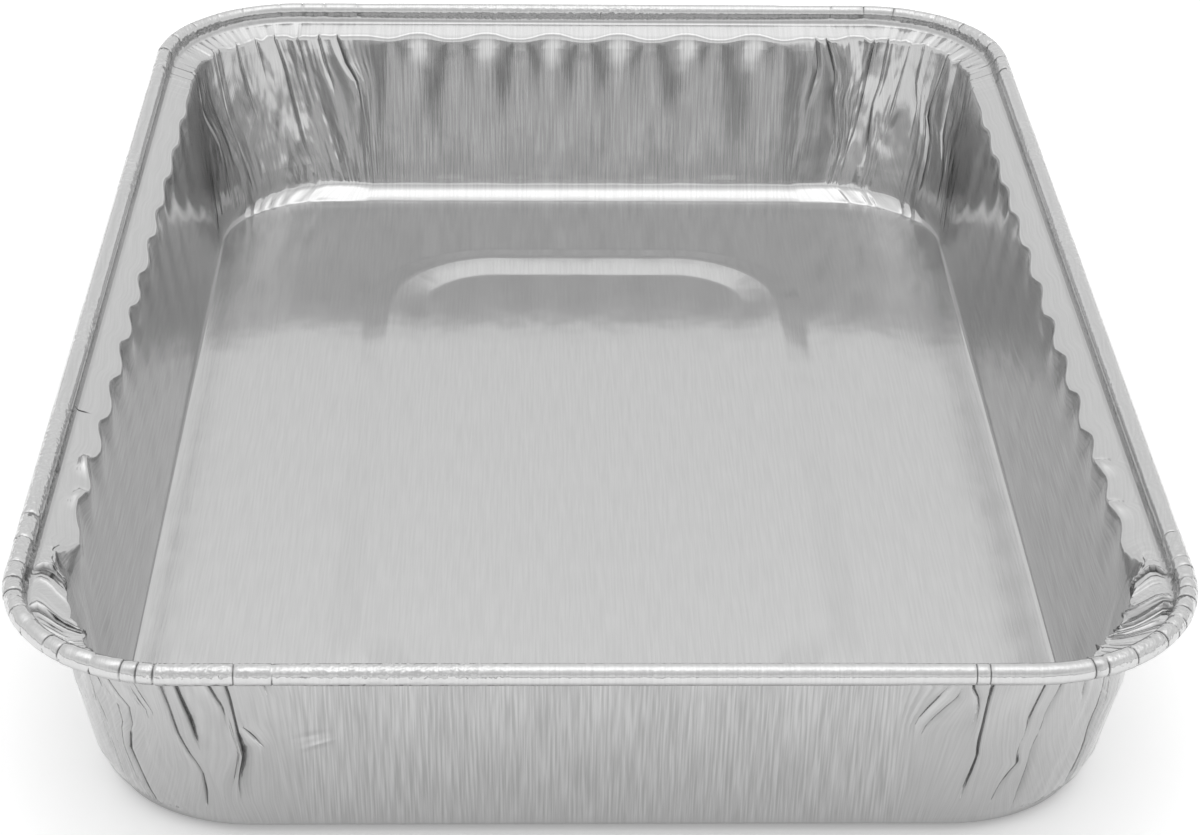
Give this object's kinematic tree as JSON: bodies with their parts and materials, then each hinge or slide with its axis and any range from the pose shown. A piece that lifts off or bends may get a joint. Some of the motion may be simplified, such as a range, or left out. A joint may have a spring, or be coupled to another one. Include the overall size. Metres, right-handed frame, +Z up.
{
  "type": "foil cake pan",
  "caption": "Oblong disposable cake pan pressed from aluminium foil, with a rolled rim, a ledge for a lid, fluted tapered walls and a raised rib on its floor.",
  "frame": {"origin": "bottom centre of the pan, on the table under the middle of the floor", "axes": "+X across the width, +Y along the length, +Z up out of the open top"},
  "size_m": [0.229, 0.3302, 0.0508],
  "materials": {
    "foil": "bright rolled foil with fine rolling marks along the length"
  },
  "bodies": {
    "root": {"pan": "foil"}
  },
  "joints": []
}
